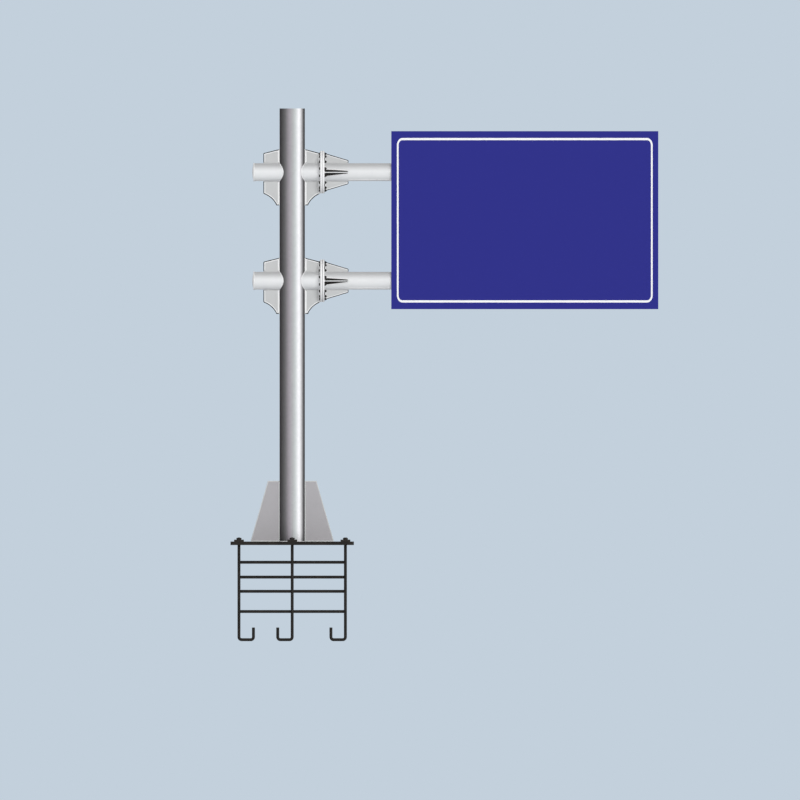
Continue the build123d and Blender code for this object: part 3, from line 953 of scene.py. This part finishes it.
def makeWorld():
    world = bpy.data.worlds.new("softStudio")
    world.use_nodes = True
    scene.world = world
    tree = world.node_tree
    tree.nodes.clear()
    direction = addNode(tree, "ShaderNodeTexCoord").outputs["Generated"]
    parts = addNode(tree, "ShaderNodeSeparateXYZ", links={"Vector": direction})
    toCamera = addNode(tree, "ShaderNodeMath", {"operation": "MULTIPLY", 1: -1.0}, {0: parts.outputs["Y"]})
    angle = addNode(tree, "ShaderNodeMath", {"operation": "ARCTAN2"},
                    {0: parts.outputs["X"], 1: toCamera.outputs["Value"]})
    turn = addNode(tree, "ShaderNodeMapRange", fromTo(-math.pi, math.pi, 0.0, 1.0),
                   {"Value": angle.outputs["Value"]})
    ramp = addNode(tree, "ShaderNodeValToRGB", links={"Fac": turn.outputs["Result"]})
    stops = ramp.color_ramp.elements
    stops.remove(stops[1])
    for index, (degrees, level, *tint) in enumerate(surroundings):
        stop = stops[0] if index == 0 else stops.new((degrees + 180) / 360)
        stop.position = (degrees + 180) / 360
        stop.color = [level * part for part in wallTints[tint[0] if tint else "plain"]] + [1.0]
    below = addNode(tree, "ShaderNodeMapRange", {
        "interpolation_type": "SMOOTHSTEP",
        **fromTo(*lightLook["groundFrom"], 0.0, lightLook["groundShare"])}, {"Value": parts.outputs["Z"]})
    ground, ambient = ([lightLook[level]] * 3 + [1.0] for level in ("groundLevel", "ambient"))
    around = addNode(tree, "ShaderNodeMix", {"data_type": "RGBA", 7: ground},
                     {0: below.outputs["Result"], 6: ramp.outputs["Color"]})
    rays = addNode(tree, "ShaderNodeLightPath")
    plain = addNode(tree, "ShaderNodeMix", {"data_type": "RGBA", 6: ambient},
                    {0: rays.outputs["Is Glossy Ray"], 7: around.outputs[2]})
    seen = addNode(tree, "ShaderNodeMix", {"data_type": "RGBA", 7: linearColour(lightLook["background"])},
                   {0: rays.outputs["Is Camera Ray"], 6: plain.outputs[2]})
    sky = addNode(tree, "ShaderNodeBackground", {"Strength": 1.0}, {"Color": seen.outputs[2]})
    addNode(tree, "ShaderNodeOutputWorld", links={"Surface": sky.outputs["Background"]})


def makeLamps():
    for name, (compass, climb, strength) in lightLook["lamps"].items():
        lamp = bpy.data.lights.new(name + "Light", "SUN")
        lamp.energy = strength
        lamp.angle = math.radians(lightLook["angle"])
        light = newObject(name + "Light", lamp)
        side, height = math.radians(compass), math.radians(climb)
        towards = Vector((math.sin(side) * math.cos(height), -math.cos(side) * math.cos(height),
                          math.sin(height)))
        light.rotation_euler = towards.to_track_quat("Z", "Y").to_euler()
        light.visible_glossy = False


floorLook = {"size": 400.0, "middle": 1.8, "gap": 4, "colours": ("#DDE2E8", "#E9EBEC"), "grainMm": 60,
             "roughness": 0.9, "specular": 0.1, "glow": 0.36, "tint": "#6A9CBF"}


def makeFloor():
    # Matt pale paper. To the camera alone it glows a little, so that it has the background's colour
    look = floorLook
    mesh = bpy.data.meshes.new("studioFloor")
    sketch = bmesh.new()
    bmesh.ops.create_grid(sketch, x_segments=1, y_segments=1, size=look["size"] / 2,
                          matrix=Matrix.Translation((look["middle"], 0.0, cadBox[0].z - look["gap"] * mm)))
    sketch.to_mesh(mesh)
    sketch.free()
    floor = newObject("studioFloor", mesh)
    material, tree, shader, place = startMaterial("matPaperFloor")
    grain = addNode(tree, "ShaderNodeTexNoise", {"Scale": patternScale(look["grainMm"]), "Detail": 3.0},
                    {"Vector": place})
    plain, pale = (linearColour(hexText) for hexText in look["colours"])
    colour = addNode(tree, "ShaderNodeMix", {"data_type": "RGBA", 6: plain, 7: pale},
                     {0: grain.outputs["Fac"]})
    tree.links.new(colour.outputs[2], shader.inputs["Base Color"])
    shader.inputs["Roughness"].default_value = look["roughness"]
    shader.inputs["Specular IOR Level"].default_value = look["specular"]
    seen = addNode(tree, "ShaderNodeLightPath").outputs["Is Camera Ray"]
    glow = addNode(tree, "ShaderNodeMath", {"operation": "MULTIPLY", 1: look["glow"]}, {0: seen})
    shader.inputs["Emission Color"].default_value = linearColour(look["tint"])
    tree.links.new(glow.outputs["Value"], shader.inputs["Emission Strength"])
    mesh.materials.append(material)
    floor.visible_glossy = False


photoView = {"x": 1.8169, "height": 2.4448, "distance": 30.0, "width": 13.483, "farthest": 600.0}


def makeCamera():  # level, square to the sign and without perspective, as the drawing is
    data = bpy.data.cameras.new("photoCamera")
    data.type = "ORTHO"
    data.ortho_scale = photoView["width"]
    data.clip_end = photoView["farthest"]
    camera = newObject("photoCamera", data)
    camera.location = (photoView["x"], -photoView["distance"], photoView["height"])
    camera.rotation_euler = (math.radians(90), 0.0, 0.0)
    scene.camera = camera
    scene.view_settings.view_transform = "Standard"


makeWorld()
makeLamps()
makeFloor()
makeCamera()
print("light, floor and camera set")
